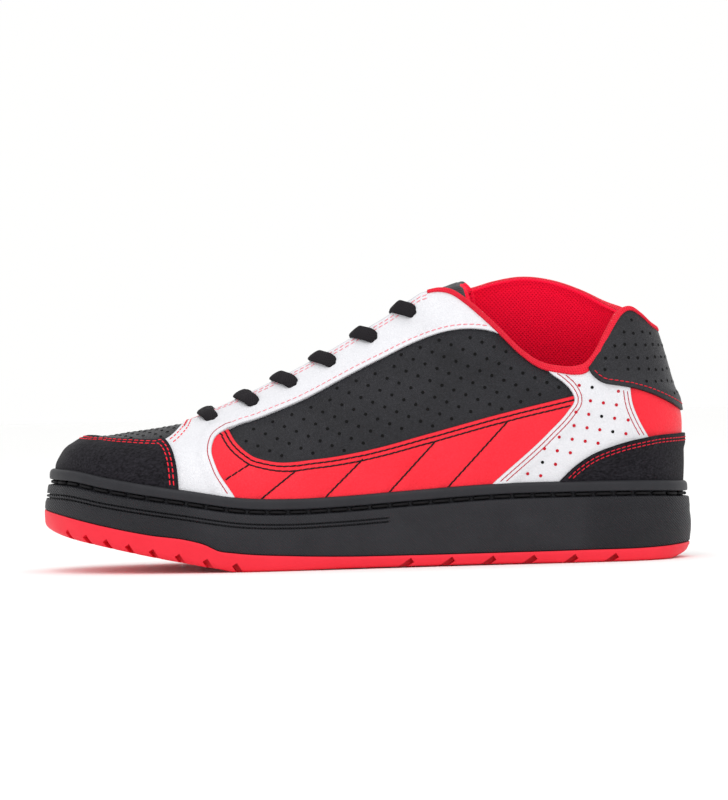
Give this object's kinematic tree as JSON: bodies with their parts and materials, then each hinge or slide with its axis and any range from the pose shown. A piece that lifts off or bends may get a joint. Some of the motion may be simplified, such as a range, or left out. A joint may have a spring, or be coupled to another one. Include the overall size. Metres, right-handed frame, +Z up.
{
  "type": "cycling shoe",
  "caption": "Low-cut flat-pedal cycling shoe for the left foot: hollow upper with sewn panels, padded collar, tongue and lace bars on a cup sole with a lugged rubber tread.",
  "frame": {"origin": "on the ground, at the middle of the shoe's length and width", "axes": "+X from toe to heel, +Y to the inner (medial) side, +Z up"},
  "size_m": [0.302, 0.1098, 0.1331],
  "materials": {
    "red_rubber": "matt moulded rubber",
    "black_rubber": "matt moulded rubber",
    "footbed": "cloth-covered foam",
    "black_leather": "perforated, satin",
    "black_suede": "suede nap",
    "white_leather": "smooth, satin",
    "red_leather": "smooth, satin",
    "red_webbing": "woven binding",
    "tongue_cloth": "padded cloth",
    "lace_cord": "braided"
  },
  "bodies": {
    "root": {"outsole": "red_rubber", "midsole": "black_rubber", "insole": "footbed", "upper": "black_leather", "toe_cap": "black_suede", "eyestay": "white_leather", "side_panel_lateral": "red_leather", "side_panel_medial": "red_leather", "saddle_lateral": "white_leather", "saddle_medial": "white_leather", "heel_panel": "red_leather", "heel_counter": "black_suede", "heel_tab": "black_leather", "collar_binding": "red_webbing", "tongue": "tongue_cloth", "lace_bar_1": "lace_cord", "lace_bar_2": "lace_cord", "lace_bar_3": "lace_cord", "lace_bar_4": "lace_cord", "lace_bar_5": "lace_cord", "lace_bar_6": "lace_cord"}
  },
  "joints": []
}
